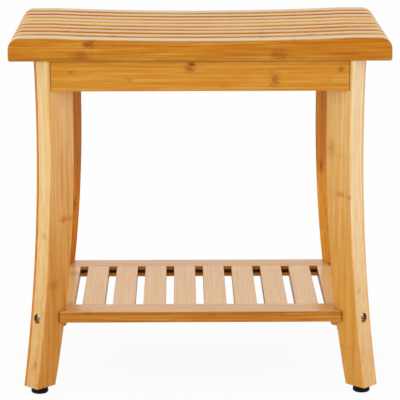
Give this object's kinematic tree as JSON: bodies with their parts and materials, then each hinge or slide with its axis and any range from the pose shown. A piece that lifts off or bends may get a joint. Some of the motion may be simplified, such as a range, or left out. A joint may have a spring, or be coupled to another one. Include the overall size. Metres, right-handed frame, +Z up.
{
  "type": "shower bench",
  "caption": "Bamboo shower bench with a dished slat seat on aprons, sabre legs set on the diagonals, a slatted lower shelf and round screw-in feet.",
  "frame": {"origin": "on the floor under the middle of the seat", "axes": "+X along the seat, -Y towards the front, +Z up"},
  "size_m": [0.5, 0.3254, 0.481],
  "materials": {
    "seat_bamboo": "satin lacquer",
    "apron_bamboo": "satin lacquer",
    "leg_bamboo": "satin lacquer",
    "shelf_bamboo": "satin lacquer",
    "inner_bamboo": "satin lacquer",
    "dowel_wood": "plain",
    "foot_rubber": "matt",
    "fastener_steel": "zinc plated",
    "insert_brass": "plain"
  },
  "bodies": {
    "bench": {"apron_front": "apron_bamboo", "apron_left": "apron_bamboo", "apron_rear": "apron_bamboo", "apron_right": "apron_bamboo", "batten_dowels": "dowel_wood", "corner_block_front_left": "inner_bamboo", "corner_block_front_right": "inner_bamboo", "corner_block_rear_left": "inner_bamboo", "corner_block_rear_right": "inner_bamboo", "corner_block_screws": "fastener_steel", "foot_inserts": "insert_brass", "leg_bolt_washers": "fastener_steel", "leg_bolts": "fastener_steel", "leg_front_left": "leg_bamboo", "leg_front_right": "leg_bamboo", "leg_inserts": "insert_brass", "leg_rear_left": "leg_bamboo", "leg_rear_right": "leg_bamboo", "seat_batten_centre": "inner_bamboo", "seat_batten_left": "inner_bamboo", "seat_batten_right": "inner_bamboo", "seat_screws": "fastener_steel", "seat_slat_1": "seat_bamboo", "seat_slat_2": "seat_bamboo", "seat_slat_3": "seat_bamboo", "seat_slat_4": "seat_bamboo", "seat_slat_5": "seat_bamboo", "seat_slat_6": "seat_bamboo", "seat_slat_7": "seat_bamboo", "seat_slat_8": "seat_bamboo", "seat_slat_9": "seat_bamboo", "shelf_bolts": "fastener_steel", "shelf_inserts": "insert_brass", "shelf_rail_front": "shelf_bamboo", "shelf_rail_rear": "shelf_bamboo", "shelf_slat_1": "shelf_bamboo", "shelf_slat_10": "shelf_bamboo", "shelf_slat_2": "shelf_bamboo", "shelf_slat_3": "shelf_bamboo", "shelf_slat_4": "shelf_bamboo", "shelf_slat_5": "shelf_bamboo", "shelf_slat_6": "shelf_bamboo", "shelf_slat_7": "shelf_bamboo", "shelf_slat_8": "shelf_bamboo", "shelf_slat_9": "shelf_bamboo", "slat_dowels": "dowel_wood"},
    "foot_front_left": {"foot_pad_front_left": "foot_rubber", "foot_stud_front_left": "fastener_steel"},
    "foot_front_right": {"foot_pad_front_right": "foot_rubber", "foot_stud_front_right": "fastener_steel"},
    "foot_rear_right": {"foot_pad_rear_right": "foot_rubber", "foot_stud_rear_right": "fastener_steel"},
    "foot_rear_left": {"foot_pad_rear_left": "foot_rubber", "foot_stud_rear_left": "fastener_steel"}
  },
  "joints": [
    {"name": "foot_front_left_level", "type": "slide", "parent": "bench", "child": "foot_front_left", "axis": [0, 0, -1], "range_m": [0, 0.008]},
    {"name": "foot_front_right_level", "type": "slide", "parent": "bench", "child": "foot_front_right", "axis": [0, 0, -1], "range_m": [0, 0.008]},
    {"name": "foot_rear_right_level", "type": "slide", "parent": "bench", "child": "foot_rear_right", "axis": [0, 0, -1], "range_m": [0, 0.008]},
    {"name": "foot_rear_left_level", "type": "slide", "parent": "bench", "child": "foot_rear_left", "axis": [0, 0, -1], "range_m": [0, 0.008]}
  ]
}
